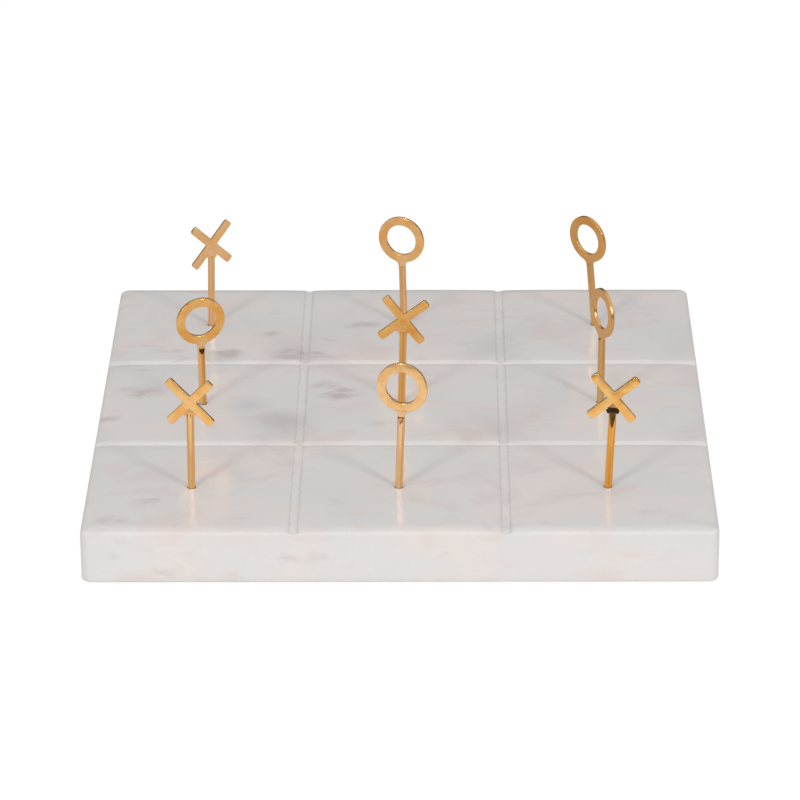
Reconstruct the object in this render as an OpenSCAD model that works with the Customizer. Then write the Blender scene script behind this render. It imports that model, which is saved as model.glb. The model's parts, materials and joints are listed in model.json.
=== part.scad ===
// Tic tac toe set: a polished marble slab with nine blind holes, and nine brass pegs that
// stand loose in them. A peg is a round stem with a flat cross or ring brazed to its top.
// The holes are drilled by hand, so each is a little out of square and off its square's centre.
// Millimetres. The origin is the middle of the footprint, at the level the pads rest on, +Z up,
// and -Y is the side that the players' symbols face.

/* [Board] */
// Side of the square slab
board_side = 203; // [160:1:260]
// Thickness of the slab
board_t = 18; // [16:0.5:24]
// Rounding of the slab's four upright corners
corner_r = 3.5; // [3.5:0.5:8]
// Rounding of the slab's top edge
top_edge_r = 3; // [1:0.5:3]
// Rounding of the slab's bottom edge
bottom_edge_r = 1; // [1:0.5:3]

/* [Grooves] */
// Width of the grooves that mark out the nine squares
groove_w = 3.5; // [2:0.1:5]
// Depth of the grooves
groove_depth = 0.5; // [0.3:0.1:1.2]

/* [Peg holes] */
// Diameter of a peg hole
hole_d = 2.9; // [2.7:0.05:3.4]
// Depth of a peg hole along its axis
hole_depth = 8; // [6:0.5:8]

/* [Pegs] */
// Diameter of a peg's round stem
stem_d = 2.5; // [2.2:0.05:2.5]
// Height of a symbol's centre above the board, for a peg of average length
symbol_height = 31.5; // [26:0.5:45]
// Thickness of the sheet that the symbols are cut from
plate_t = 1.2; // [1:0.1:1.6]
// Width of a cross's bars
bar_w = 2.9; // [2.4:0.1:3.2]
// Length of a cross's bars
bar_len = 20.4; // [18:0.2:24]
// Outer diameter of a ring
ring_od = 16.8; // [14:0.2:20]
// Inner diameter of a ring
ring_id = 10.8; // [8:0.2:12]

/* [Pads] */
// Diameter of the felt pads under the slab
pad_d = 12; // [8:1:20]
// Thickness of the felt pads
pad_t = 1; // [0.5:0.25:2]
// Distance from the slab's sides to a pad's centre
pad_inset = 20; // [14:1:40]

/* [Hidden] */
$fn = 64;

cell = board_side / 3;
board_top = pad_t + board_t;
stem_r = stem_d / 2;

// How far a cutting tool runs past the solid that it cuts
overrun = 1;
// Air under a peg's tip
tip_gap = 0.02;
tip_chamfer = 0.3;
// Rounding of the corners at a bar's ends
bar_end_r = 0.7;

// From a symbol's centre down to where the stem is ground flush with the sheet, and then the
// length over which it grows back to a full round.
cross_flush_drop = 3.7;
cross_taper = 5.4;
ring_flush_drop = ring_od / 2 + 1.7;
ring_taper = 2.9;

// The web of braze that fills the notch under a cross, down to the stem's end
web_w = 4;
web_below_flush = 1;
// The collar of braze between a ring and the stem's end: wide at the ring, narrow on the stem
collar_top_w = 4.6;
collar_h = 1;

// Colours
marble_white = [0.87, 0.86, 0.84];
brass = [0.86, 0.64, 0.32];
braze_gold = [0.80, 0.60, 0.40];
felt_grey = [0.35, 0.33, 0.31];

// Each row is one peg: the square it stands in, column and row of that square, then how this
// hand-made peg stands. In degrees: turn about the stem, tilt of the symbol on its stem, lean
// towards +X, lean towards +Y. In mm: how far its hole is off the square's centre towards +X
// and towards +Y, and what its stem has over average.
PEGS = [
    ["back_left",     -1,  1,  34,  1.5,  1.1, -0.2,  0.2,  0.0, -1.1],
    ["back_centre",    0,  1, -21,  0.0, -1.4,  0.0,  0.3,  0.0,  0.6],
    ["back_right",     1,  1, -46,  0.0, -4.9,  0.0, -0.3,  0.0,  0.8],
    ["middle_left",   -1,  0,  19,  0.0, -0.1, -4.0,  0.5, -0.6, -0.4],
    ["middle_centre",  0,  0,  -1, -6.0,  1.7,  0.0, -0.2,  0.0, -1.3],
    ["middle_right",   1,  0, -67,  0.0,  0.4,  1.1, -0.6,  0.0,  0.9],
    ["front_left",    -1, -1, -13,  1.5,  0.3,  0.0,  0.1,  0.0, -1.5],
    ["front_centre",   0, -1, -15,  0.0,  2.1,  0.6, -0.5,  0.0,  3.4],
    ["front_right",    1, -1,  -3, -3.0,  2.5,  0.2, -0.5,  0.0, -0.1],
];
function peg(square) = [for (row = PEGS) if (row[0] == square) row][0];
function column(p) = p[1];
function line(p) = p[2];
function turn(p) = p[3];
function tilt(p) = p[4];
function lean(p) = [p[5], p[6]];
function shift(p) = [p[7], p[8]];
function symbol_z(p) = symbol_height + p[9];

// Stands things on the axis that a peg and its hole share, with z = 0 at the board's face.
module on_axis(p) {
    translate([column(p) * cell + shift(p).x, line(p) * cell + shift(p).y, board_top])
        rotate([-lean(p).y, lean(p).x, 0]) children();
}

// ---- Board ----

// Rectangle with rounded corners, centred.
module rounded_rectangle(size, r) {
    square([size.x - 2 * r, size.y], center = true);
    square([size.x, size.y - 2 * r], center = true);
    for (sx = [-1, 1], sy = [-1, 1])
        translate([sx * (size.x / 2 - r), sy * (size.y / 2 - r)]) circle(r);
}

// Section through the slab, standing on y = 0: its edges are rounded more at the top.
module slab_section() {
    half = board_side / 2;
    translate([-half, bottom_edge_r]) square([board_side, board_t - bottom_edge_r - top_edge_r]);
    translate([bottom_edge_r - half, 0]) square([board_side - 2 * bottom_edge_r, board_t / 2]);
    translate([top_edge_r - half, board_t / 2]) square([board_side - 2 * top_edge_r, board_t / 2]);
    for (side = [-1, 1]) {
        translate([side * (half - bottom_edge_r), bottom_edge_r]) circle(bottom_edge_r);
        translate([side * (half - top_edge_r), board_t - top_edge_r]) circle(top_edge_r);
    }
}

module slab_bar() {
    rotate([90, 0, 0]) linear_extrude(board_side + 2 * overrun, center = true) slab_section();
}

// Slab standing on z = 0: its section run both ways, and its outline trimmed to round corners.
module slab() {
    intersection() {
        linear_extrude(board_t) rounded_rectangle([board_side, board_side], corner_r);
        slab_bar();
        rotate([0, 0, 90]) slab_bar();
    }
}

// Round-bottomed cutter along X, whose lowest line is at z = -groove_depth.
module groove_cutter() {
    groove_r = (pow(groove_w / 2, 2) + pow(groove_depth, 2)) / (2 * groove_depth);
    translate([0, 0, groove_r - groove_depth])
        rotate([0, 90, 0]) cylinder(h = board_side + 2 * overrun, r = groove_r, center = true);
}

module marble_board() {
    color(marble_white)
        difference() {
            translate([0, 0, pad_t]) slab();
            for (angle = [0, 90], side = [-1, 1])
                rotate([0, 0, angle]) translate([0, side * cell / 2, board_top]) groove_cutter();
            for (p = PEGS)
                on_axis(p) translate([0, 0, -hole_depth]) cylinder(h = hole_depth + overrun, d = hole_d);
        }
}

module felt_pads() {
    offset_xy = board_side / 2 - pad_inset;
    color(felt_grey)
        for (sx = [-1, 1], sy = [-1, 1])
            translate([sx * offset_xy, sy * offset_xy, 0]) cylinder(h = pad_t, d = pad_d);
}

// ---- Pegs: each is drawn on its own stem's axis, with z = 0 at the board's face ----

// Stands a peg in its hole, turned about its stem as it was left.
module stand(p) { on_axis(p) rotate([0, 0, turn(p)]) children(); }

// Lays a flat outline upright, facing -Y, with its centre at the symbol's height.
module upright(p, thickness = plate_t) {
    translate([0, 0, symbol_z(p)])
        rotate([90, 0, 0]) linear_extrude(thickness, center = true) children();
}

module cross_outline(p) {
    for (angle = [-45, 45])
        rotate(tilt(p) + angle) rounded_rectangle([bar_len, bar_w], bar_end_r);
}

// What the grinding leaves of a peg: as thick as the sheet above z, and growing thicker
// below it, to the thickness of the stem after the taper.
module ground_blade(z, taper) {
    flank = plate_t / 2;
    outer = flank + stem_d;
    run = stem_d * taper / (stem_r - flank);
    bottom = -hole_depth - overrun;
    rotate([90, 0, 90])
        linear_extrude(2 * web_w, center = true)
            polygon([
                [-flank, z + web_w], [-flank, z], [-outer, z - run], [-outer, bottom],
                [outer, bottom], [outer, z - run], [flank, z], [flank, z + web_w]
            ]);
}

// Round rod with a chamfered tip that rests on the floor of its hole.
module rod(top) {
    tip = tip_gap - hole_depth;
    translate([0, 0, tip]) cylinder(h = tip_chamfer, r1 = stem_r - tip_chamfer, r2 = stem_r);
    translate([0, 0, tip + tip_chamfer]) cylinder(h = top - tip - tip_chamfer, r = stem_r);
}

module cross_stem(p) {
    flush_z = symbol_z(p) - cross_flush_drop;
    intersection() {
        rod(flush_z - web_below_flush);
        ground_blade(flush_z, cross_taper);
    }
}

module ring_stem(p) {
    intersection() {
        rod(symbol_z(p) - ring_od / 2 - collar_h);
        ground_blade(symbol_z(p) - ring_flush_drop, ring_taper);
    }
}

// The block that the two lower bars leave between them, ground like the stem.
module cross_web(p) {
    flush_z = symbol_z(p) - cross_flush_drop;
    difference() {
        intersection() {
            translate([-web_w / 2, -stem_d, flush_z - web_below_flush])
                cube([web_w, 2 * stem_d, cross_flush_drop + web_below_flush - bar_w / 2]);
            ground_blade(flush_z, cross_taper);
        }
        upright(p, 3 * stem_d) cross_outline(p);
    }
}

module ring_collar(p) {
    inside_ring = (ring_od + ring_id) / 4;
    upright(p)
        difference() {
            polygon([
                [-stem_r, -ring_od / 2 - collar_h], [stem_r, -ring_od / 2 - collar_h],
                [collar_top_w / 2, -inside_ring], [-collar_top_w / 2, -inside_ring]
            ]);
            circle(d = ring_od);
        }
}

module ring_sheet(p) {
    upright(p)
        difference() {
            circle(d = ring_od);
            circle(d = ring_id);
        }
}

module x_cross(p) { color(brass) stand(p) upright(p) cross_outline(p); }
module x_stem(p) { color(brass) stand(p) cross_stem(p); }
module x_braze(p) { color(braze_gold) stand(p) cross_web(p); }
module o_ring(p) { color(brass) stand(p) ring_sheet(p); }
module o_stem(p) { color(brass) stand(p) ring_stem(p); }
module o_braze(p) { color(braze_gold) stand(p) ring_collar(p); }

marble_board();
felt_pads();

x_cross(peg("back_left"));  // x_cross_back_left
x_stem(peg("back_left"));  // x_stem_back_left
x_braze(peg("back_left"));  // x_braze_back_left
o_ring(peg("back_centre"));  // o_ring_back_centre
o_stem(peg("back_centre"));  // o_stem_back_centre
o_braze(peg("back_centre"));  // o_braze_back_centre
o_ring(peg("back_right"));  // o_ring_back_right
o_stem(peg("back_right"));  // o_stem_back_right
o_braze(peg("back_right"));  // o_braze_back_right
o_ring(peg("middle_left"));  // o_ring_middle_left
o_stem(peg("middle_left"));  // o_stem_middle_left
o_braze(peg("middle_left"));  // o_braze_middle_left
x_cross(peg("middle_centre"));  // x_cross_middle_centre
x_stem(peg("middle_centre"));  // x_stem_middle_centre
x_braze(peg("middle_centre"));  // x_braze_middle_centre
o_ring(peg("middle_right"));  // o_ring_middle_right
o_stem(peg("middle_right"));  // o_stem_middle_right
o_braze(peg("middle_right"));  // o_braze_middle_right
x_cross(peg("front_left"));  // x_cross_front_left
x_stem(peg("front_left"));  // x_stem_front_left
x_braze(peg("front_left"));  // x_braze_front_left
o_ring(peg("front_centre"));  // o_ring_front_centre
o_stem(peg("front_centre"));  // o_stem_front_centre
o_braze(peg("front_centre"));  // o_braze_front_centre
x_cross(peg("front_right"));  // x_cross_front_right
x_stem(peg("front_right"));  // x_stem_front_right
x_braze(peg("front_right"));  // x_braze_front_right
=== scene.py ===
import json
import math

import bmesh
import bpy
import numpy as np
from mathutils import Matrix, Vector


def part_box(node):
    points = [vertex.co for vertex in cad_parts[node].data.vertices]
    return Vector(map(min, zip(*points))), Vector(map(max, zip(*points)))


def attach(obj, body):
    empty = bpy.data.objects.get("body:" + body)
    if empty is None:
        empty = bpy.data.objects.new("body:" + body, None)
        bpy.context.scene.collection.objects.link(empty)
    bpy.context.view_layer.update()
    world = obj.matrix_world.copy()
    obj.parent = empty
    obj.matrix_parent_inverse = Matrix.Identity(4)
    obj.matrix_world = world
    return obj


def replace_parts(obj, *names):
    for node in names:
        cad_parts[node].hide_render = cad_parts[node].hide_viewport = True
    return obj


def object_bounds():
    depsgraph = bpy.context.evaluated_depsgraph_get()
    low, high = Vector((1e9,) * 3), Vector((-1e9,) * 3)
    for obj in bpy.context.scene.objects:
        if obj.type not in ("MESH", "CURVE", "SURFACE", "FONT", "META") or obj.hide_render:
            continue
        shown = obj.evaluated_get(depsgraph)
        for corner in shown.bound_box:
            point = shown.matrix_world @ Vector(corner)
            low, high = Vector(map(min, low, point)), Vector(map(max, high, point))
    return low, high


# The looks of the tic tac toe set: a polished marble board and nine loose brass pegs.
# Metres, in the frame's axes: +Z up, and the players' symbols face -Y.
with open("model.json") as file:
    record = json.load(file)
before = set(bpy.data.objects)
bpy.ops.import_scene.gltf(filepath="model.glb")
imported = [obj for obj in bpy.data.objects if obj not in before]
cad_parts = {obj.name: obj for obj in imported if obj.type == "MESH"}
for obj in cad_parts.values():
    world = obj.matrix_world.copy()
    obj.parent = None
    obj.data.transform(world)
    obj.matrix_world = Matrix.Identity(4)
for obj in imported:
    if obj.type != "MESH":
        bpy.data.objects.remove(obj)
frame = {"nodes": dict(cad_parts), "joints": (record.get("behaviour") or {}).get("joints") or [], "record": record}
cad_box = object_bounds()

MM = 0.001

# ---- Board: what the stone-cutter's and polisher's hands leave on the plain slab ----
TOP_FILLET = 1.2 * MM
ROLL_WIDTH = 5.5 * MM  # the polished face rolls off over this width, down to the fillet
ROLL_SLOPE = 0.19  # its slope at the very edge
BOTTOM_FILLET = 1.0 * MM
CORNER = 3.5 * MM
GROOVE_HALF = 1.75 * MM
GROOVE_DEPTH = 0.5 * MM
GROOVE_SOFT = 0.15  # how softly the trough runs out into the face
HOLE_RADIUS = 1.4 * MM
HOLE_DEPTH = 8.0 * MM
HOLE_RIM = 0.12 * MM
PATCH = 4.0 * MM  # half the side of the square of mesh round a hole
PATCH_STEPS = 6

# The stone's strongest flecks: x, y, z in mm in the frame's axes, then strength.
FLECKS = [
    (-92, -93, 19, 0.6), (-81, -79, 19, 0.6), (-99, -13, 19, 0.6), (-93, 12, 19, 0.5), (-87, 8, 19, 0.8),
    (-64, 40, 19, 1.0), (-47, 59, 19, 0.5), (-40, 41, 19, 0.8), (-34, 41, 19, 0.8), (-14, 67, 19, 0.7),
    (-26, 15, 19, 0.6), (-21, 7, 19, 1.0), (-6, -17, 19, 0.5), (-50, -91, 19, 0.35), (79, -87, 19, 0.35),
    (35, -97, 19, 0.35), (35, 22, 19, 0.4), (-74, -101, 5, 0.5), (-35, -101, 10, 0.4), (-26, -101, 10, 0.4),
    (-91, -101, 10, 0.3),
]

# Its greyest clouds, in the same way.
HAZES = [
    (-41, -14, 19, 1.0), (-62, 39, 19, 0.9), (-86, 12, 19, 0.7), (-68, 26, 19, 0.6), (-51, -2, 19, 0.7),
    (-25, 14, 19, 0.4), (-85, 60, 19, 0.4),
]

# ---- Pegs ----
EDGE = 0.22 * MM  # rounding of the sheet's polished edges
BAR_CORNER = 0.8 * MM
# Three stems are filed to a long flat below the symbol; the others are dressed to a short bevel.
FILED = ("middle_left", "front_centre", "front_right")
# Where a cross's stem has come down to the sheet's thickness, below the cross's centre, and over
# what length; then the same below a ring's rim.
CROSS_FLAT = {True: (5.0 * MM, 5.3 * MM), False: (3.5 * MM, 0.5 * MM)}
RING_FLAT = {True: (1.8 * MM, 1.9 * MM), False: (0.7 * MM, 0.5 * MM)}
# How much paler, then how much darker with painted shade, a peg's brass is than the others'.
TONES_AND_PAINTED_SHADE = {
    "back_left": (0.40, 0.0),
    "back_centre": (0.20, 0.0),
    "back_right": (0.10, 0.45),
    "middle_right": (0.20, 0.50),
    "front_left": (0.10, 0.0),
    "front_centre": (0.32, 0.0),
}
# How much deeper an orange two of the stems are.
DEEP_STEMS = {"front_right": 0.65, "middle_centre": 0.25}
# Points round a stem and round a ring.
AROUND_STEM = 56
AROUND_RING = 120


def spaced(start, end, step):
    """Evenly spaced values from start up to, and not including, end."""
    count = max(1, round((end - start) / step))
    return [start + (end - start) * i / count for i in range(count)]


def smooth(value):
    """0 below 0, 1 above 1, and an S curve between."""
    t = np.clip(value, 0.0, 1.0)
    return t * t * (3.0 - 2.0 * t)


def waves(seed, count, shortest, *coords):
    """A smooth random field between about -1 and 1, made of sine waves down to a shortest length."""
    rng = np.random.default_rng(seed)
    total = 0.0
    for _ in range(count):
        direction = rng.normal(size=len(coords))
        direction /= np.linalg.norm(direction)
        length = shortest * rng.uniform(1.0, 3.5)
        phase = rng.uniform(0, 2 * math.pi)
        total = total + np.sin(sum(d * c for d, c in zip(direction, coords)) * 2 * math.pi / length + phase)
    return total / math.sqrt(count)


class Skin:
    """Points and faces of one closed mesh, built up ring by ring."""

    def __init__(self):
        self.points = []
        self.faces = []

    def ring(self, points):
        """Adds points, and gives their numbers."""
        start = len(self.points)
        self.points.extend(tuple(p) for p in points)
        return list(range(start, len(self.points)))

    def bridge(self, a, b):
        """Faces between two rings with the same count of points."""
        for i in range(len(a)):
            j = (i + 1) % len(a)
            self.faces.append((a[i], a[j], b[j], b[i]))

    def cap(self, ring):
        self.faces.append(tuple(ring))

    def piece(self, name, material, matrix=None):
        """The finished object: smooth, apart from sharp edges and flat caps."""
        mesh = bpy.data.meshes.new(name)
        mesh.from_pydata(self.points, [], self.faces)
        work = bmesh.new()
        work.from_mesh(mesh)
        bmesh.ops.recalc_face_normals(work, faces=work.faces)
        work.to_mesh(mesh)
        work.free()
        mesh.polygons.foreach_set("use_smooth", [len(p.vertices) < 5 for p in mesh.polygons])
        mesh.set_sharp_from_angle(angle=math.radians(38))
        mesh.materials.append(material)
        made = bpy.data.objects.new(name, mesh)
        bpy.context.scene.collection.objects.link(made)
        if matrix is not None:
            made.matrix_world = matrix
        return made


# ---------------------------------------------------------------- materials


def add(tree, kind, inputs=(), **settings):
    """Adds a node. inputs maps a socket's name or number to a value or to another node's output."""
    made = tree.nodes.new(kind)
    for name, value in settings.items():
        setattr(made, name, value)
    for key, value in dict(inputs).items():
        if isinstance(value, bpy.types.NodeSocket):
            tree.links.new(value, made.inputs[key])
        elif made.inputs[key].type == "RGBA":
            made.inputs[key].default_value = (*value, 1.0)
        else:
            made.inputs[key].default_value = value
    return made


def calc(tree, operation, a, b=0.0):
    """Arithmetic on two values."""
    return add(tree, "ShaderNodeMath", {0: a, 1: b}, operation=operation).outputs[0]


def scale_vector(tree, vector, scale, turn=(0, 0, 0)):
    """Coordinates scaled, then turned: a scale below 1 draws a pattern out along that axis."""
    inputs = {"Vector": vector, "Rotation": turn, "Scale": scale}
    return add(tree, "ShaderNodeMapping", inputs).outputs[0]


def grain(tree, vector, size, detail=2.0, roughness=0.5, distortion=0.0):
    """Noise whose patches are about size metres across, as a value near 0.5."""
    inputs = {
        "Vector": vector,
        "Scale": 1.0 / size,
        "Detail": detail,
        "Roughness": roughness,
        "Distortion": distortion,
    }
    return add(tree, "ShaderNodeTexNoise", inputs).outputs["Fac"]


def between(tree, value, low, high, to_low=0.0, to_high=1.0):
    """Maps low..high to to_low..to_high, clamped, along an S curve."""
    inputs = {"Value": value, "From Min": low, "From Max": high, "To Min": to_low, "To Max": to_high}
    return add(tree, "ShaderNodeMapRange", inputs, interpolation_type="SMOOTHSTEP").outputs[0]


def blend_colour(tree, share, a, b):
    """Colour a, with a share of colour b mixed in."""
    return add(tree, "ShaderNodeMix", {0: share, 6: a, 7: b}, data_type="RGBA").outputs[2]


def new_material(name, shade):
    """A material. shade(tree, object coordinates) returns the inputs of its Principled shader."""
    made = bpy.data.materials.new(name)
    made.use_nodes = True
    tree = made.node_tree
    tree.nodes.clear()
    place = add(tree, "ShaderNodeTexCoord").outputs["Object"]
    shader = add(tree, "ShaderNodeBsdfPrincipled", shade(tree, place))
    add(tree, "ShaderNodeOutputMaterial", {"Surface": shader.outputs[0]})
    return made


def bump(tree, height, distance, strength=1.0):
    """Surface normals from a height, of which 1 stands for a distance in metres."""
    inputs = {"Height": height, "Distance": distance, "Strength": strength}
    return add(tree, "ShaderNodeBump", inputs).outputs[0]


def spot_map(tree, place, rows, size):
    """Where some of the stone's markings lie: soft spots, drawn out along its bed and frayed. size is
    how far a spot of full strength reaches, in mm, along the bed, across it and into it."""
    fray = add(tree, "ShaderNodeTexNoise", {"Vector": place, "Scale": 1 / (6 * MM), "Detail": 4.0})
    inputs = {0: fray.outputs["Color"], 1: (0.5, 0.5, 0.5)}
    shift = add(tree, "ShaderNodeVectorMath", inputs, operation="SUBTRACT").outputs[0]
    inputs = {0: shift, 1: (6 * MM, 6 * MM, 6 * MM), 2: place}
    frayed = add(tree, "ShaderNodeVectorMath", inputs, operation="MULTIPLY_ADD").outputs[0]
    most = 0.0
    for x, y, z, strength in rows:
        reach = (0.5 + 0.5 * strength) * MM
        inputs = {
            "Vector": frayed,
            "Location": (x * MM, y * MM, z * MM),
            "Rotation": (0, 0, math.radians(12)),
            "Scale": [side * reach for side in size],
        }
        spot = add(tree, "ShaderNodeMapping", inputs, vector_type="TEXTURE").outputs[0]
        ball = add(tree, "ShaderNodeTexGradient", {"Vector": spot}, gradient_type="SPHERICAL")
        most = calc(tree, "MAXIMUM", most, calc(tree, "MULTIPLY", ball.outputs["Fac"], strength))
    return most


def marble_ground(tree, bed):
    """The stone's body: cool and warm clouds, some of them greyer."""
    clouds = between(tree, grain(tree, bed, 24 * MM, 3.0, 0.55, 0.4), 0.30, 0.70)
    colour = blend_colour(tree, clouds, (0.785, 0.770, 0.750), (0.845, 0.775, 0.735))
    greyer = between(tree, grain(tree, bed, 22 * MM, 4.0, 0.6, 0.8), 0.56, 0.72, 0.0, 0.30)
    return blend_colour(tree, greyer, colour, (0.64, 0.60, 0.60))


def faint_flecks(tree, place, bed):
    """Scattered weak flecks, in some regions more than in others, and fewer to the right."""
    regions = between(tree, grain(tree, place, 55 * MM, 1.0), 0.42, 0.62, 0.15, 1.0)
    flecks = between(tree, grain(tree, bed, 7.5 * MM, 3.0, 0.55, 0.5), 0.60, 0.74)
    across = add(tree, "ShaderNodeSeparateXYZ", {"Vector": place}).outputs["X"]
    to_left = between(tree, across, 90 * MM, -90 * MM, 0.35, 1.0)
    return calc(tree, "MULTIPLY", calc(tree, "MULTIPLY", flecks, regions), to_left)


def marble_markings(tree, place, bed, colour):
    """Lays the grey hazes, the pinkish-brown flecks and a broad blush over the stone's body."""
    haze = spot_map(tree, place, HAZES, (12.0, 10.0, 8.0))
    colour = blend_colour(tree, between(tree, haze, 0.0, 0.9, 0.0, 0.50), colour, (0.60, 0.575, 0.575))
    spots = spot_map(tree, place, FLECKS, (11.0, 6.5, 4.0))
    colour = blend_colour(tree, between(tree, spots, 0.0, 0.8, 0.0, 0.36), colour, (0.61, 0.565, 0.55))
    wisps = between(tree, grain(tree, bed, 5 * MM, 4.0, 0.6, 0.8), 0.38, 0.70)
    strong = calc(tree, "MULTIPLY", between(tree, spots, 0.05, 0.60), wisps)
    faint = faint_flecks(tree, place, bed)
    share = calc(tree, "MAXIMUM", calc(tree, "MULTIPLY", faint, 0.20), calc(tree, "MULTIPLY", strong, 0.43))
    colour = blend_colour(tree, share, colour, (0.44, 0.27, 0.23))
    blush = between(tree, grain(tree, bed, 14 * MM, 2.0, 0.5, 0.6), 0.52, 0.72, 0.0, 0.35)
    return blend_colour(tree, blush, colour, (0.77, 0.63, 0.575))


def marble_shade(tree, place):
    """White polished marble with a fine grain. Grooves less glossy, with thin painted shade at their lips."""
    bed = scale_vector(tree, place, (0.62, 1.0, 1.0), (0, 0, math.radians(-14)))
    colour = marble_markings(tree, place, bed, marble_ground(tree, bed))
    crystals = grain(tree, place, 0.9 * MM, 2.0)
    colour = blend_colour(tree, between(tree, crystals, 0.3, 0.7, 0.0, 0.10), colour, (0.70, 0.66, 0.64))
    ground = add(tree, "ShaderNodeAttribute", attribute_name="groove").outputs["Fac"]
    # Painted shade: a thin darker band along each groove's lips, where the walls dip.
    lips = between(tree, ground, 0.18, 0.35, 0.0, 0.38)
    lips = calc(tree, "MULTIPLY", lips, between(tree, ground, 0.72, 0.50))
    colour = blend_colour(tree, lips, colour, (0.60, 0.57, 0.55))
    polish = between(tree, grain(tree, place, 9 * MM, 3.0), 0.3, 0.7, 0.13, 0.24)
    roughness = calc(tree, "ADD", polish, calc(tree, "MULTIPLY", ground, 0.15))
    # As the brass reflects it, the marble is duller, so that the lamps' glints on it don't light the pegs.
    mirrored = add(tree, "ShaderNodeLightPath").outputs["Is Glossy Ray"]
    roughness = calc(tree, "ADD", roughness, calc(tree, "MULTIPLY", mirrored, 0.5))
    ripple = grain(tree, place, 6 * MM, 2.0)
    pits = grain(tree, place, 0.5 * MM, 2.0)
    height = calc(tree, "ADD", ripple, calc(tree, "MULTIPLY", pits, 0.06))
    waviness = between(tree, ground, 0.0, 0.12, 1.0, 0.06)
    return {
        "Base Color": colour,
        "Roughness": roughness,
        "IOR": 1.5,
        "Specular IOR Level": 0.37,
        "Subsurface Weight": 0.08,
        "Subsurface Radius": (1.0, 0.8, 0.7),
        "Subsurface Scale": 1.0 * MM,
        "Normal": bump(tree, height, 0.022 * MM, waviness),
    }


def seeded(tree, place):
    """Object coordinates, moved by a different amount on each peg."""
    seed = add(tree, "ShaderNodeAttribute", attribute_type="OBJECT", attribute_name="grain_seed")
    inputs = {0: place, 1: seed.outputs["Vector"]}
    return add(tree, "ShaderNodeVectorMath", inputs, operation="ADD").outputs[0]


def seen_rough(tree, roughness):
    """Makes a metal rougher as other surfaces see it, so that it throws no sharp patches of light."""
    path = add(tree, "ShaderNodeLightPath")
    roughness = calc(tree, "ADD", roughness, calc(tree, "MULTIPLY", path.outputs["Is Diffuse Ray"], 0.8))
    return calc(tree, "ADD", roughness, calc(tree, "MULTIPLY", path.outputs["Is Glossy Ray"], 0.14))


def toned(tree, colour):
    """Each peg's own tone: paler, darker with painted shade, or deeper than the common brass."""
    tone = add(tree, "ShaderNodeAttribute", attribute_type="OBJECT", attribute_name="tone")
    parts = add(tree, "ShaderNodeSeparateXYZ", {"Vector": tone.outputs["Vector"]})
    colour = blend_colour(tree, parts.outputs["X"], colour, (1.0, 0.68, 0.42))
    colour = blend_colour(tree, parts.outputs["Z"], colour, (0.93, 0.40, 0.03))
    # Painted shade: darker brown brass, by the peg's second tone value.
    colour = blend_colour(tree, parts.outputs["Y"], colour, (0.58, 0.30, 0.09))
    # In light that bounces off it onto other surfaces, the brass is darker brown, so it throws less light.
    scattered = add(tree, "ShaderNodeLightPath").outputs["Is Diffuse Ray"]
    return blend_colour(tree, calc(tree, "MULTIPLY", scattered, 0.6), colour, (0.40, 0.24, 0.10))


def metal_shade(tree, place, dark, light, rough_low, rough_high):
    """Hand-polished metal: uneven tone and gloss, long fine scratches and shallow buffing ripples. The
    edges of the sheet are duller than its faces."""
    place = seeded(tree, place)
    tone = between(tree, grain(tree, place, 5 * MM, 3.0, 0.6), 0.32, 0.68)
    colour = blend_colour(tree, tone, dark, light)
    heated = between(tree, grain(tree, place, 7 * MM, 2.0), 0.51, 0.67, 0.0, 0.50)
    colour = blend_colour(tree, heated, colour, (0.88, 0.38, 0.06))
    gloss = between(tree, grain(tree, place, 2.2 * MM, 4.0, 0.6), 0.3, 0.7, rough_low, rough_high)
    normal = add(tree, "ShaderNodeTexCoord").outputs["Normal"]
    facing = add(tree, "ShaderNodeSeparateXYZ", {"Vector": normal})
    edges = between(tree, calc(tree, "ABSOLUTE", facing.outputs["Y"]), 0.96, 0.75, 0.0, 0.10)
    gloss = calc(tree, "ADD", gloss, edges)
    along = scale_vector(tree, place, (1.0, 1.0, 0.08))
    scratches = grain(tree, along, 0.16 * MM, 3.0, 0.6)
    ripples = grain(tree, place, 3.5 * MM, 1.0)
    height = calc(tree, "ADD", ripples, calc(tree, "MULTIPLY", scratches, 0.006))
    return {
        "Base Color": toned(tree, colour),
        "Metallic": 1.0,
        "Roughness": seen_rough(tree, gloss),
        "Normal": bump(tree, height, 0.045 * MM),
    }


def brass_shade(tree, place):
    """The crosses' and rings' polished sheet."""
    return metal_shade(tree, place, (0.96, 0.49, 0.125), (1.0, 0.60, 0.22), 0.16, 0.26)


def braze_shade(tree, place):
    """Filler left as dressed: a little paler and duller than the brass."""
    return metal_shade(tree, place, (0.93, 0.54, 0.23), (1.0, 0.68, 0.40), 0.28, 0.42)


def filed_braze_shade(tree, place):
    """Filler on a filed cross, polished bright with the stem's flat."""
    return metal_shade(tree, place, (0.90, 0.52, 0.20), (0.98, 0.62, 0.32), 0.06, 0.14)


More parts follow.
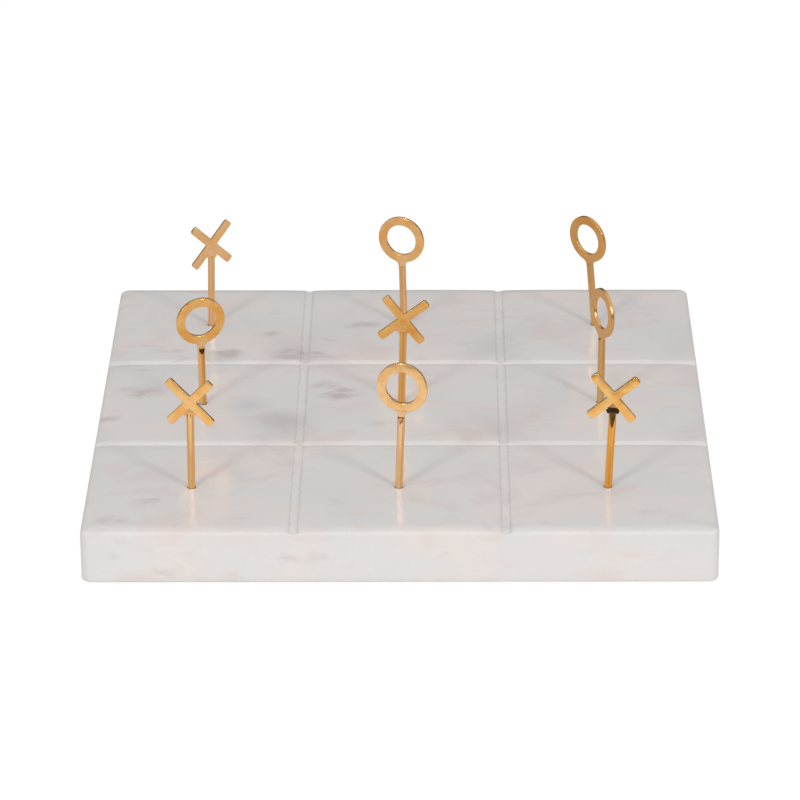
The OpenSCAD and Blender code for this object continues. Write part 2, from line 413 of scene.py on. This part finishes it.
def rod_shade(tree, place):
    """Drawn brass wire with a fine grain: flutes with painted highlights, and dark lines, drawing marks and
    painted reflections.
    """
    place = seeded(tree, place)
    drawn = scale_vector(tree, place, (1.0, 1.0, 0.004))
    flutes = grain(tree, drawn, 0.75 * MM, 1.0)
    lines = grain(tree, drawn, 0.30 * MM, 2.0, 0.6)
    # Dark lengthwise lines: the wire's drawing marks, and painted reflection streaks.
    colour = blend_colour(tree, between(tree, lines, 0.38, 0.58), (0.66, 0.29, 0.06), (0.96, 0.53, 0.18))
    # Painted highlights: paler, whiter brass along the high flutes.
    pale = between(tree, flutes, 0.50, 0.66, 0.0, 0.7)
    colour = blend_colour(tree, pale, colour, (0.98, 0.66, 0.32))
    worn = grain(tree, place, 3 * MM, 3.0, 0.6)
    height = calc(tree, "ADD", flutes, calc(tree, "MULTIPLY", lines, 0.25))
    worked = add(tree, "ShaderNodeAttribute", attribute_name="worked").outputs["Fac"]
    height = calc(tree, "MULTIPLY", height, between(tree, worked, 0.1, 0.4, 1.0, 0.1))
    dressed = calc(tree, "MULTIPLY", between(tree, worked, 0.1, 0.4), between(tree, worked, 0.9, 0.6))
    gloss = between(tree, worn, 0.3, 0.7, 0.10, 0.20)
    gloss = calc(tree, "ADD", gloss, calc(tree, "MULTIPLY", dressed, 0.35))
    return {
        "Base Color": toned(tree, colour),
        "Metallic": 1.0,
        "Roughness": seen_rough(tree, gloss),
        "Normal": bump(tree, height, 0.10 * MM),
    }


def felt_shade(tree, place):
    """Dark grey pressed wool: a mat of short fibres with a little sheen."""
    fibres = grain(tree, scale_vector(tree, place, (1.0, 0.25, 1.0), (0, 0, 0.6)), 0.25 * MM, 4.0, 0.7, 2.0)
    tufts = grain(tree, place, 1.2 * MM, 3.0)
    colour = blend_colour(tree, between(tree, fibres, 0.3, 0.7), (0.055, 0.05, 0.045), (0.17, 0.16, 0.145))
    matted = between(tree, tufts, 0.4, 0.7, 0.0, 0.5)
    return {
        "Base Color": blend_colour(tree, matted, colour, (0.11, 0.10, 0.09)),
        "Roughness": 0.95,
        "Sheen Weight": 0.4,
        "Normal": bump(tree, fibres, 0.15 * MM),
    }


# ---------------------------------------------------------------- board


def grid_lines(half, cell):
    """Where the mesh lines cross an axis: close at the grooves, holes and edges, wide between."""
    fine = 0.16 * MM
    wide = 1.3 * MM
    groove = 3.2 * MM
    lines = spaced(0, PATCH, PATCH / PATCH_STEPS)
    lines += spaced(PATCH, cell / 2 - groove, wide)
    lines += spaced(cell / 2 - groove, cell / 2 + groove, fine)
    lines += spaced(cell / 2 + groove, cell - PATCH, wide)
    lines += spaced(cell - PATCH, cell + PATCH, PATCH / PATCH_STEPS)
    lines += spaced(cell + PATCH, half - ROLL_WIDTH, wide)
    lines += spaced(half - ROLL_WIDTH, half - CORNER, 0.8 * MM)
    lines += spaced(half - CORNER, half - TOP_FILLET, 0.4 * MM)
    turns = [math.radians(a) for a in range(0, 91, 9)]
    lines += [half - TOP_FILLET * (1 - math.sin(a)) for a in turns]
    return np.array([-x for x in reversed(lines[1:])] + lines)


def round_corners(x, y, half):
    """Draws the square outline's corner squares in to quarter discs, ring by ring."""
    u = np.maximum(np.abs(x) - (half - CORNER), 0.0)
    v = np.maximum(np.abs(y) - (half - CORNER), 0.0)
    length = np.hypot(u, v)
    share = np.where(length > 0, np.maximum(u, v) / np.maximum(length, 1e-12), 1.0)
    new_x = np.sign(x) * (np.minimum(np.abs(x), half - CORNER) + u * share)
    new_y = np.sign(y) * (np.minimum(np.abs(y), half - CORNER) + v * share)
    return new_x, new_y


def groove_shape(distance):
    """Share of the groove's depth at a distance from its middle line: a shallow trough with soft lips."""
    trough = 1.0 - (distance / GROOVE_HALF) ** 2
    return (trough + np.sqrt(trough**2 + GROOVE_SOFT)) / 2


def top_drop(x, y, inset, cell):
    """How far the board's face lies below its highest level, and where it is ground groove."""
    to_line_x = np.abs(np.abs(x) - cell / 2)
    to_line_y = np.abs(np.abs(y) - cell / 2)
    groove = np.maximum(groove_shape(to_line_x), groove_shape(to_line_y))
    # Polishing has rounded the nine squares a little towards the grooves,
    pillow = 0.12 * MM * (np.exp(-((to_line_x / (5 * MM)) ** 2)) + np.exp(-((to_line_y / (5 * MM)) ** 2)))
    # worn the slab's edge where the grooves run out, most at the back, left that edge uneven,
    near = np.exp(-((to_line_x / (8 * MM)) ** 2)) + np.exp(-((to_line_y / (8 * MM)) ** 2))
    worn = (0.06 + 0.16 * smooth(y / (40 * MM))) * near
    rim = np.exp(-((inset / (9 * MM)) ** 2))
    soft = pillow + rim * MM * (worn + 0.10 * (1 + waves(3, 8, 32 * MM, x, y)) / 2)
    # and left the whole face very slightly wavy.
    soft = soft + 0.035 * MM * (1 + waves(5, 8, 22 * MM, x, y)) / 2
    reach = np.clip(TOP_FILLET - inset, 0.0, TOP_FILLET)
    fillet = TOP_FILLET - np.sqrt(TOP_FILLET**2 - reach**2)
    fade = 1.0 - smooth(reach / TOP_FILLET)
    roll = ROLL_SLOPE * np.clip(ROLL_WIDTH - inset, 0.0, ROLL_WIDTH) ** 2 / (2 * ROLL_WIDTH)
    cut = groove * GROOVE_DEPTH
    ground = groove * smooth(1.5 - fillet / (0.5 * GROOVE_DEPTH))
    return np.hypot(fillet, cut) + soft * fade + roll, ground


def board_outline(grid):
    """The grid's outer points in order, from one corner round."""
    return [*grid[:-1, 0], *grid[-1, :-1], *grid[:0:-1, -1], *grid[0, :0:-1]]


def drill(skin, corner_points, peg, top):
    """Fills the square opening round a peg's hole: flat rings to its rim, then its wall and floor. The
    wall follows the peg's leaning axis."""
    slope = np.array(peg.up.xy) / peg.up.z
    mouth = peg.on_axis(top)
    loop = np.array([skin.points[i] for i in corner_points])
    angle = np.arctan2(loop[:, 1] - mouth[1], loop[:, 0] - mouth[0])
    ray = np.stack([np.cos(angle), np.sin(angle)], 1)
    rim = np.column_stack([mouth + ray * (HOLE_RADIUS + HOLE_RIM), loop[:, 2]])
    last = corner_points
    for share in (0.35, 0.65, 0.85, 1.0):
        now = skin.ring(loop * (1 - share) + rim * share)
        skin.bridge(last, now)
        last = now
    deep = HOLE_DEPTH * peg.up.z
    turns = [math.radians(a) for a in (22.5, 45, 67.5, 90)]
    rings = [(HOLE_RADIUS + HOLE_RIM * (1 - math.sin(a)), HOLE_RIM * (1 - math.cos(a))) for a in turns]
    rings += [(HOLE_RADIUS, depth) for depth in spaced(1 * MM, deep, 1.4 * MM)]
    rings += [(HOLE_RADIUS, deep - 0.1 * MM), (HOLE_RADIUS - 0.1 * MM, deep)]
    for radius, depth in rings:
        across = ray * radius
        square = min(depth / (1 * MM), 1.0)
        height = loop[:, 2] * (1 - square) + top * square - depth - square * (across @ slope)
        now = skin.ring(np.column_stack([mouth - slope * depth + across, height]))
        skin.bridge(last, now)
        last = now
    skin.cap(last)


def lay_face(skin, grid, lines, cell, pegs, top):
    """The squares of mesh between the grid's points, and a drilled patch round each peg."""
    centres = [-cell, 0.0, cell]
    starts = [int(np.argmin(np.abs(lines - (c - PATCH)))) for c in centres]
    span = 2 * PATCH_STEPS
    in_patch = np.zeros(len(lines) - 1, int)
    for start in starts:
        in_patch[start:start + span] = 1
    for i in range(len(lines) - 1):
        for j in range(len(lines) - 1):
            if not (in_patch[i] and in_patch[j]):
                skin.faces.append((grid[i, j], grid[i + 1, j], grid[i + 1, j + 1], grid[i, j + 1]))
    for peg in pegs:
        i, j = (starts[round(v / cell) + 1] for v in peg.on_axis(top))
        drill(skin, board_outline(grid[i:i + span + 1, j:j + span + 1]), peg, top)


def lay_walls(skin, grid, top, thick):
    """The slab's sides, its lower rounded edge and its underside, ring below ring."""
    last = board_outline(grid)
    outline = np.array([skin.points[i] for i in last])
    inward = outward_normals(outline) * -1
    rings = [(0.0, z) for z in spaced(TOP_FILLET + 1.2 * MM, thick - BOTTOM_FILLET, 1.3 * MM)]
    for a in range(0, 91, 15):
        turn = math.radians(a)
        rings.append((BOTTOM_FILLET * (1 - math.cos(turn)), thick - BOTTOM_FILLET * (1 - math.sin(turn))))
    rings.append((BOTTOM_FILLET + 1.5 * MM, thick))
    for inset_by, depth in rings:
        ring = outline[:, :2] + inward * inset_by
        now = skin.ring(np.column_stack([ring, np.full(len(ring), top - depth)]))
        skin.bridge(last, now)
        last = now
    skin.cap(last)


def board(pegs):
    """The slab, with its grooves and holes, in one closed mesh."""
    low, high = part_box("marble_board")
    half = high.x
    cell = 2 * half / 3
    lines = grid_lines(half, cell)
    x, y = np.meshgrid(lines, lines, indexing="ij")
    inset = half - np.maximum(np.abs(x), np.abs(y))
    plan_x, plan_y = round_corners(x, y, half)
    drop, groove = top_drop(plan_x, plan_y, inset, cell)
    skin = Skin()
    points = np.stack([plan_x, plan_y, high.z - drop], 2).reshape(-1, 3)
    grid = np.array(skin.ring(points)).reshape(x.shape)
    lay_face(skin, grid, lines, cell, pegs, high.z)
    lay_walls(skin, grid, high.z, high.z - low.z)
    made = skin.piece("board_marble", new_material("marble", marble_shade))
    shares = np.zeros(len(skin.points), np.float32)
    shares[:groove.size] = groove.ravel()
    made.data.attributes.new("groove", "FLOAT", "POINT").data.foreach_set("value", shares)
    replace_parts(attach(made, "board"), "marble_board")


def outward_normals(outline):
    """Unit vectors in plan, square to a closed outline that runs anticlockwise."""
    along = np.roll(outline, -1, 0)[:, :2] - np.roll(outline, 1, 0)[:, :2]
    across = np.column_stack([along[:, 1], -along[:, 0]])
    across /= np.linalg.norm(across, axis=1)[:, None]
    flip = np.sign((across * outline[:, :2]).sum())
    return across * flip


def pads():
    """Four felt discs with soft, slightly fuzzy rims."""
    low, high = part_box("felt_pads")
    material = new_material("felt", felt_shade)
    radius = 6 * MM
    thick = high.z - low.z
    soft = 0.3 * MM
    profile = (
        (soft, low.z),
        (0.4 * soft, low.z + 0.08 * thick),
        (0, low.z + 0.3 * thick),
        (0, high.z - 0.3 * thick),
        (0.4 * soft, high.z - 0.08 * thick),
        (soft, high.z),
    )
    for name_y, sy in (("front", -1), ("back", 1)):
        for name_x, sx in (("left", -1), ("right", 1)):
            centre = np.array([sx * (high.x - radius), sy * (high.y - radius)])
            skin = Skin()
            angle = np.linspace(0, 2 * math.pi, 96, endpoint=False)
            ray = np.column_stack([np.cos(angle), np.sin(angle)])
            fuzz = 0.08 * MM * waves(sx + 2 * sy + 9, 10, 0.25, angle)
            last = None
            for inset, z in profile:
                reach = radius - inset + fuzz * (1 - inset / soft)
                now = skin.ring(np.column_stack([centre + ray * reach[:, None], np.full(len(angle), z)]))
                if last is None:
                    skin.cap(now)
                else:
                    skin.bridge(last, now)
                last = now
            skin.cap(last)
            made = skin.piece(f"pad_{name_y}_{name_x}", material)
            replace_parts(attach(made, "board"), "felt_pads")


# ---------------------------------------------------------------- pegs


class Peg:
    """One peg as the frame gives it. Its own axes have their origin at the symbol's centre, +Z along
    the stem, +X to the right and -Y to the front."""

    def __init__(self, body, nodes, joint):
        self.body = body
        self.kind = body[0]
        self.square = body.split("_peg_")[1]
        self.filed = self.square in FILED
        symbol = next(n for n in nodes if "_cross_" in n or "_ring_" in n)
        stem = next(n for n in nodes if "_stem_" in n)
        low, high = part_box(symbol)
        centre = (low + high) / 2
        up = Vector(joint["axis"]).normalized()
        self.centre = centre
        self.up = up
        points = node_points(symbol) - np.array(centre)
        # The sheet is thinnest from front to back.
        front = Vector(np.linalg.svd(points, full_matrices=False)[2][2])
        front = (front - up * front.dot(up)).normalized()
        if front.y > 0:
            front.negate()
        right = up.cross(front)
        turn = Matrix([right, -front, up]).transposed()
        self.matrix = Matrix.Translation(centre) @ turn.to_4x4()
        # The symbol's CAD points in the peg's axes, and how far each is from its centre.
        self.local = points @ np.array(turn)
        self.size = np.hypot(self.local[:, 0], self.local[:, 2])
        self.thick = 2 * np.abs(self.local[:, 1]).max()
        rod = (node_points(stem) - np.array(centre)) @ np.array(turn)
        self.tip = rod[:, 2].min()
        self.stem_top = rod[:, 2].max()
        self.stem_radius = np.hypot(rod[:, 0], rod[:, 1]).max()
        self.seed = sum(ord(c) * (i + 1) for i, c in enumerate(self.square)) % 997

    def on_axis(self, z):
        """Where the stem's axis is at a height, in plan."""
        return np.array((self.centre + self.up * ((z - self.centre.z) / self.up.z)).xy)

    def finish(self, skin, name, material, slot):
        """Makes one of the peg's three pieces, which stands in for its CAD node."""
        made = skin.piece(f"{name}_{self.square}", material, self.matrix)
        made["grain_seed"] = [self.seed * 0.37, self.seed * 0.61, self.seed * 0.13]
        deep = DEEP_STEMS.get(self.square, 0.0) if name == "stem" else 0.0
        made["tone"] = [*TONES_AND_PAINTED_SHADE.get(self.square, (0.0, 0.0)), deep]
        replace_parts(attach(made, self.body), f"{self.kind}_{name}_{self.square}")
        return made


def node_points(node):
    """A CAD node's points in the frame's axes."""
    mesh = frame["nodes"][node].data
    points = np.zeros(len(mesh.vertices) * 3)
    mesh.vertices.foreach_get("co", points)
    return points.reshape(-1, 3)


def sheet_half(inset, thick, seed, a, b):
    """Half the sheet's thickness at a distance in from its edge: rounded rim, and a face that the
    polishing wheel has crowned and rippled a little."""
    reach = np.clip(EDGE - inset, 0.0, EDGE)
    rim = thick / 2 - EDGE + np.sqrt(EDGE**2 - reach**2)
    ripple = 0.012 * MM * waves(seed, 6, 5 * MM, a, b) * smooth(inset / EDGE)
    crown = 0.05 * MM * smooth(inset / (1.3 * MM)) - 0.03 * MM
    return rim + ripple + crown * smooth(inset / EDGE)


def cross_measures(peg):
    """How far the cross is tilted in its own plane, and half its bars' length and width."""
    angles = np.arctan2(peg.local[:, 2], peg.local[:, 0])
    far = peg.size > 0.97 * peg.size.max()
    tilt = np.angle(-np.exp(4j * angles[far]).mean()) / 4
    bar_turn = math.radians(45) + tilt
    u_cad = peg.local[:, 0] * math.cos(bar_turn) + peg.local[:, 2] * math.sin(bar_turn)
    v_cad = -peg.local[:, 0] * math.sin(bar_turn) + peg.local[:, 2] * math.cos(bar_turn)
    half_len = np.abs(u_cad).max()
    half_w = np.abs(v_cad[np.abs(u_cad) > half_len / 2]).max()
    return tilt, half_len, half_w


def bar_lines(half_len, half_w):
    """Where the mesh lines cross a bar's axis: close at the bars' edges and ends."""
    rim = [EDGE * (1 - math.sin(math.radians(a))) for a in (90, 70, 50, 30, 15, 0)]
    across = spaced(0, half_w - BAR_CORNER, 0.28 * MM)
    across += spaced(half_w - BAR_CORNER, half_w - EDGE, 0.12 * MM)
    across += [half_w - r for r in reversed(rim)]
    along = spaced(half_w, half_len - BAR_CORNER, 0.5 * MM)[1:]
    along += spaced(half_len - BAR_CORNER, half_len - EDGE, 0.12 * MM)
    along += [half_len - r for r in reversed(rim)]
    lines = across + along
    return np.array([-x for x in reversed(lines[1:])] + lines)


def cross_skin(peg):
    """Two crossed bars with rounded ends, as one sheet: a front and a back grid, joined by the rim."""
    tilt, half_len, half_w = cross_measures(peg)
    bar_turn = math.radians(45) + tilt
    lines = bar_lines(half_len, half_w)
    u, v = np.meshgrid(lines, lines, indexing="ij")
    in_bar = (np.abs(u) < half_w + 1e-9) | (np.abs(v) < half_w + 1e-9)
    inset = cross_inset(u, v, half_len, half_w)
    plan_u, plan_v = round_bar_ends(u, v, half_len, half_w)
    skin = Skin()
    grids = []
    for side, seed in ((-1, peg.seed), (1, peg.seed + 1)):
        y = side * sheet_half(inset, peg.thick, seed, plan_u, plan_v)
        x = plan_u * math.cos(bar_turn) - plan_v * math.sin(bar_turn)
        z = plan_u * math.sin(bar_turn) + plan_v * math.cos(bar_turn)
        grids.append(np.full(u.shape, -1))
        grids[-1][in_bar] = skin.ring(np.stack([x, y, z], 2)[in_bar])
    count = len(lines)
    mid = np.abs((lines[:-1] + lines[1:]) / 2)
    cells = [(i, j) for i in range(count - 1) for j in range(count - 1) if min(mid[i], mid[j]) < half_w]
    for grid in grids:
        for i, j in cells:
            skin.faces.append((grid[i, j], grid[i + 1, j], grid[i + 1, j + 1], grid[i, j + 1]))
    join_borders(skin, grids[0], grids[1], cells)
    return skin, tilt


def join_borders(skin, front, back, cells):
    """The rim: faces between two grids along the edges that only one of their cells has."""
    border = {}
    for i, j in cells:
        loop = [(i, j), (i + 1, j), (i + 1, j + 1), (i, j + 1)]
        for a, b in zip(loop, loop[1:] + loop[:1]):
            key = (min(a, b), max(a, b))
            border[key] = border.get(key, 0) + 1
    for (a, b), uses in border.items():
        if uses == 1:
            skin.faces.append((front[a], front[b], back[b], back[a]))


def cross_inset(u, v, half_len, half_w):
    """Distance in from the cross's outline."""
    a, b = np.maximum(np.abs(u), np.abs(v)), np.minimum(np.abs(u), np.abs(v))
    in_arm = np.minimum(half_w - b, half_len - a)
    in_middle = np.hypot(np.maximum(half_w - a, 0), half_w - b)
    return np.maximum(np.where(a > half_w, in_arm, in_middle), 0.0)


def round_bar_ends(u, v, half_len, half_w):
    """Draws the corners at the bars' ends in to quarter discs."""
    a, b = np.maximum(np.abs(u), np.abs(v)), np.minimum(np.abs(u), np.abs(v))
    da = np.maximum(a - (half_len - BAR_CORNER), 0.0)
    db = np.where(da > 0, np.maximum(b - (half_w - BAR_CORNER), 0.0), 0.0)
    length = np.hypot(da, db)
    share = np.where(length > 0, np.maximum(da, db) / np.maximum(length, 1e-12), 1.0)
    new_a, new_b = a - da + da * share, b - db + db * share
    long_u = np.abs(u) >= np.abs(v)
    return np.sign(u) * np.where(long_u, new_a, new_b), np.sign(v) * np.where(long_u, new_b, new_a)


def ring_skin(peg):
    """A flat washer, its rims rounded and its faces crowned, and not quite a perfect circle."""
    outer, inner = peg.size.max(), peg.size.min()
    middle, half_w = (outer + inner) / 2, (outer - inner) / 2
    insets = [EDGE * (1 - math.sin(math.radians(a))) for a in (90, 70, 50, 30, 15, 0)]
    offsets = [half_w - i for i in insets] + spaced(half_w - EDGE, 0, 0.3 * MM)[1:]
    offsets = np.array(offsets + [-o for o in reversed(offsets)])
    theta = np.linspace(0, 2 * math.pi, AROUND_RING, endpoint=False)
    theta, offset = np.meshgrid(theta, offsets, indexing="ij")
    wobble = 0.05 * MM * waves(peg.seed, 3, 2.5, np.cos(theta), np.sin(theta))
    reach = middle + offset + wobble
    x, z = reach * np.cos(theta), reach * np.sin(theta)
    inset = half_w - np.abs(offset)
    warp = 0.03 * MM * waves(peg.seed + 5, 3, 14 * MM, x, z)
    front = warp - sheet_half(inset, peg.thick, peg.seed, x, z)
    back = warp + sheet_half(inset, peg.thick, peg.seed + 1, x, z)
    skin = Skin()
    rings = []
    for i in range(AROUND_RING):
        face = np.column_stack([x[i], front[i], z[i]])
        rear = np.column_stack([x[i], back[i], z[i]])[::-1]
        rings.append(skin.ring(np.vstack([face, rear])))
    for i in range(AROUND_RING):
        skin.bridge(rings[i], rings[(i + 1) % AROUND_RING])
    return skin


def stem_skin(peg, flush, taper):
    """A drawn rod with a rounded tip, brought down on both sides to the sheet's thickness. Gives the
    skin, and for each point whether it is on the worked part."""
    top = max(peg.stem_top, flush)
    radius, flank = peg.stem_radius, peg.thick / 2
    tip_round = 0.35 * MM
    heights = [(peg.tip + tip_round * (1 - math.cos(a)), radius - tip_round * (1 - math.sin(a)))
               for a in np.radians([0, 22.5, 45, 67.5])]
    heights += [(z, radius) for z in spaced(peg.tip + tip_round, flush - taper, 1.2 * MM)]
    heights += [(z, radius) for z in spaced(flush - taper, top - 0.12 * MM, min(0.16 * MM, taper / 4))]
    heights += [(top - 0.12 * MM, radius), (top, radius - 0.12 * MM)]
    angle = np.linspace(0, 2 * math.pi, AROUND_STEM, endpoint=False)
    skin = Skin()
    worked = []
    last = None
    for z, reach in heights:
        blade = flank + max(flush - z, 0.0) * (radius - flank) / taper
        reach = reach + 0.008 * MM * waves(peg.seed + 2, 3, 7 * MM, np.full(1, z))
        x = reach * np.cos(angle)
        y = np.clip(reach * np.sin(angle), -blade, blade)
        worked += list(np.abs(reach * np.sin(angle)) > blade)
        now = skin.ring(np.column_stack([x, y, np.full(AROUND_STEM, z)]))
        if last is None:
            skin.cap(now)
        else:
            skin.bridge(last, now)
        last = now
    skin.cap(last)
    return skin, worked


def level_ring(z, half_w, half_t, shift):
    """A level rectangle with rounded corners."""
    soft = min(0.12 * MM, 0.8 * half_w)
    points = []
    for sx, sy, start in ((1, 1, 0), (-1, 1, 90), (-1, -1, 180), (1, -1, 270)):
        for turn in np.radians(np.linspace(start, start + 90, 6)):
            x = sx * (half_w - soft) + soft * math.cos(turn)
            y = sy * (half_t - soft) + soft * math.sin(turn)
            points.append((x + shift, y, z))
    return points


def lump_skin(sections):
    """A closed block through level sections, each (height, half width, half thickness, shift in x)."""
    skin = Skin()
    last = None
    for section in sections:
        now = skin.ring(level_ring(*section))
        if last is None:
            skin.cap(now)
        else:
            skin.bridge(last, now)
        last = now
    skin.cap(last)
    return skin


def cross_braze_skin(peg, tilt):
    """The web in the notch, flush with the sheet. Below it, a filed peg's web slopes out to the stem."""
    flank = peg.thick / 2
    # Height, half width, and how far it stands proud of the sheet, in mm.
    shape = [(-1.75, 0.15, 0.005), (-2.1, 0.36, 0.010), (-2.6, 0.86, 0.012), (-3.1, 1.36, 0.012),
             (-3.6, 1.80, 0.012)]
    if peg.filed:
        shape += [(-3.72, 2.05, 0.03), (-4.0, 2.15, 0.085), (-4.4, 2.15, 0.165), (-4.8, 2.10, 0.245),
                  (-5.1, 1.95, 0.30), (-5.3, 1.75, 0.335), (-5.36, 1.60, 0.30)]
    else:
        shape += [(-4.0, 2.0, 0.012), (-4.4, 1.95, 0.01), (-4.65, 1.75, 0.0), (-4.9, 1.4, -0.03),
                  (-5.05, 1.2, -0.08)]
    sections = []
    for z, half_w, proud in shape:
        fade = 1 - smooth((-z - 3.4) / 1.4)
        sections.append((z * MM, half_w * MM, flank + proud * MM, -z * MM * math.sin(tilt) * fade))
    return lump_skin(sections)


def ring_braze_skin(peg):
    """The collar under a ring: two small fillets that run out on the stem."""
    flank, rim = peg.thick / 2, peg.size.max()
    # As for a cross, with heights from the ring's lowest point.
    shape = [(0.75, 2.10, -0.03), (0.45, 2.15, 0.008), (0.2, 2.08, 0.012), (0.0, 1.85, 0.012),
             (-0.25, 1.58, 0.012), (-0.5, 1.40, 0.012), (-0.8, 1.29, 0.012), (-1.1, 1.24, 0.005),
             (-1.3, 1.15, -0.03)]
    return lump_skin([(z * MM - rim, w * MM, flank + proud * MM, 0.0) for z, w, proud in shape])


def read_pegs():
    """The nine pegs as the frame has them, in the order of their names."""
    joints = {j["child"]: j for j in frame["joints"]}
    groups = frame["record"]["behaviour"]["bodies"]
    return [Peg(body, nodes, joints[body]) for body, nodes in sorted(groups.items()) if body != "board"]


def dress(pegs):
    """Every peg's symbol, filler and stem."""
    brass = new_material("brass", brass_shade)
    rod = new_material("drawn_brass", rod_shade)
    braze = new_material("braze", braze_shade)
    filed_braze = new_material("filed_braze", filed_braze_shade)
    for peg in pegs:
        if peg.kind == "x":
            symbol, tilt = cross_skin(peg)
            peg.finish(symbol, "cross", brass, "brass")
            filler = cross_braze_skin(peg, tilt)
            drop, taper = CROSS_FLAT[peg.filed]
            stem, worked = stem_skin(peg, -drop, taper)
        else:
            peg.finish(ring_skin(peg), "ring", brass, "brass")
            filler = ring_braze_skin(peg)
            drop, taper = RING_FLAT[peg.filed]
            stem, worked = stem_skin(peg, -peg.size.max() - drop, taper)
        made = peg.finish(stem, "stem", rod, "brass")
        shares = np.array(worked, np.float32) * (1.0 if peg.filed else 0.5)
        made.data.attributes.new("worked", "FLOAT", "POINT").data.foreach_set("value", shares)
        filed_cross = peg.filed and peg.kind == "x"
        peg.finish(filler, "braze", filed_braze if filed_cross else braze, "braze")


# ---------------------------------------------------------------- stage, light, camera


def floor():
    """A plain pale sheet, a little larger than the picture. The camera sees it white. It lights the set
    less, above all from its near edge, in the camera's shade, and from the board backwards."""
    reach_x, reach_front, reach_back = 0.75, 0.30, 0.9
    steps = 24
    xs = np.linspace(-reach_x, reach_x, steps)
    ys = np.linspace(-reach_front, reach_back, steps)
    mesh = bpy.data.meshes.new("floor")
    points = [(a, b, cad_box[0].z) for a in xs for b in ys]
    faces = [(i * steps + j, (i + 1) * steps + j, (i + 1) * steps + j + 1, i * steps + j + 1)
             for i in range(steps - 1) for j in range(steps - 1)]
    mesh.from_pydata(points, [], faces)
    material = bpy.data.materials.new("floor_paper")
    material.use_nodes = True
    tree = material.node_tree
    tree.nodes.clear()
    place = add(tree, "ShaderNodeTexCoord").outputs["Object"]
    forward = add(tree, "ShaderNodeSeparateXYZ", {"Vector": place}).outputs["Y"]
    seen = add(tree, "ShaderNodeLightPath").outputs["Is Camera Ray"]
    near_edge = between(tree, forward, -0.265, -0.225, 0.04, 0.63)
    for_others = calc(tree, "MINIMUM", near_edge, between(tree, forward, -0.13, -0.08, 0.63, 0.38))
    strength = add(tree, "ShaderNodeMix", {0: seen, 2: for_others, 3: 0.80}, data_type="FLOAT").outputs[0]
    paper = add(tree, "ShaderNodeBsdfDiffuse", {"Color": (0.3, 0.3, 0.3)})
    glow = add(tree, "ShaderNodeEmission", {"Color": (1, 1, 1), "Strength": strength})
    both = add(tree, "ShaderNodeAddShader", {0: paper.outputs[0], 1: glow.outputs[0]})
    add(tree, "ShaderNodeOutputMaterial", {"Surface": both.outputs[0]})
    mesh.materials.append(material)
    made = bpy.data.objects.new("floor", mesh)
    bpy.context.scene.collection.objects.link(made)


def softbox(name, azimuth, elevation, distance, size, watts):
    """A soft square light that faces the board. Azimuth 0 is in front, positive to the right."""
    a, e = math.radians(azimuth), math.radians(elevation)
    away = Vector((math.sin(a) * math.cos(e), -math.cos(a) * math.cos(e), math.sin(e)))
    lamp = bpy.data.lights.new(name, "AREA")
    lamp.shape = "SQUARE"
    lamp.size = size
    lamp.energy = watts
    made = bpy.data.objects.new(name, lamp)
    made.location = away * distance
    made.rotation_mode = "QUATERNION"
    made.rotation_quaternion = away.to_track_quat("Z", "Y")
    bpy.context.scene.collection.objects.link(made)


def studio():
    """Pale walls and a bright ceiling, dark low in front where the camera stands and low at the back.
    The camera itself sees plain white."""
    world = bpy.data.worlds.new("studio")
    bpy.context.scene.world = world
    world.use_nodes = True
    tree = world.node_tree
    tree.nodes.clear()
    place = add(tree, "ShaderNodeTexCoord").outputs["Generated"]
    parts = add(tree, "ShaderNodeSeparateXYZ", {"Vector": place})
    back, up = parts.outputs["Y"], parts.outputs["Z"]
    ceiling = between(tree, up, 0.45, 0.90, 0.56, 0.92)
    low_front = calc(tree, "MULTIPLY", between(tree, back, -0.15, -0.55), between(tree, up, 0.36, 0.22))
    low_front = calc(tree, "MULTIPLY", low_front, 0.93)
    low_back = calc(tree, "MULTIPLY", between(tree, back, 0.15, 0.45), between(tree, up, 0.74, 0.44))
    low_back = calc(tree, "MULTIPLY", low_back, 0.80)
    dark = calc(tree, "MAXIMUM", low_front, low_back)
    level = calc(tree, "MULTIPLY", ceiling, calc(tree, "SUBTRACT", 1.0, dark))
    dim = add(tree, "ShaderNodeBackground", {"Color": (0.97, 0.98, 1.0), "Strength": level})
    white = add(tree, "ShaderNodeBackground", {"Color": (1, 1, 1), "Strength": 1.05})
    seen = add(tree, "ShaderNodeLightPath").outputs["Is Camera Ray"]
    mixed = add(tree, "ShaderNodeMixShader", {0: seen, 1: dim.outputs[0], 2: white.outputs[0]})
    add(tree, "ShaderNodeOutputWorld", {"Surface": mixed.outputs[0]})
    softbox("key_left", azimuth=-32, elevation=27, distance=2.2, size=0.35, watts=10.5)
    softbox("key_right", azimuth=39, elevation=27, distance=2.2, size=0.35, watts=10.5)


def camera():
    """A long lens from in front and a little above, looking straight back. Its frame is shifted to the
    left, and it is rolled by a hair."""
    board_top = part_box("marble_board")[1].z
    aim_x, aim_y = 0.0122, 0.0017
    distance = 1.4756
    pitch = math.radians(23.827)
    lens = bpy.data.cameras.new("camera")
    lens.lens = 196.39
    lens.sensor_width = 36.0
    lens.shift_x = -0.04754
    lens.clip_start, lens.clip_end = 0.05, 20.0
    made = bpy.data.objects.new("camera", lens)
    back = aim_y - distance * math.cos(pitch)
    height = board_top + distance * math.sin(pitch)
    place = Matrix.Translation((aim_x, back, height))
    roll = Matrix.Rotation(math.radians(-0.08), 4, "Z")
    made.matrix_world = place @ Matrix.Rotation(math.pi / 2 - pitch, 4, "X") @ roll
    bpy.context.scene.collection.objects.link(made)
    bpy.context.scene.camera = made


pegs = read_pegs()
board(pegs)
pads()
dress(pegs)
floor()
studio()
camera()
bpy.context.scene.view_settings.view_transform = "Standard"
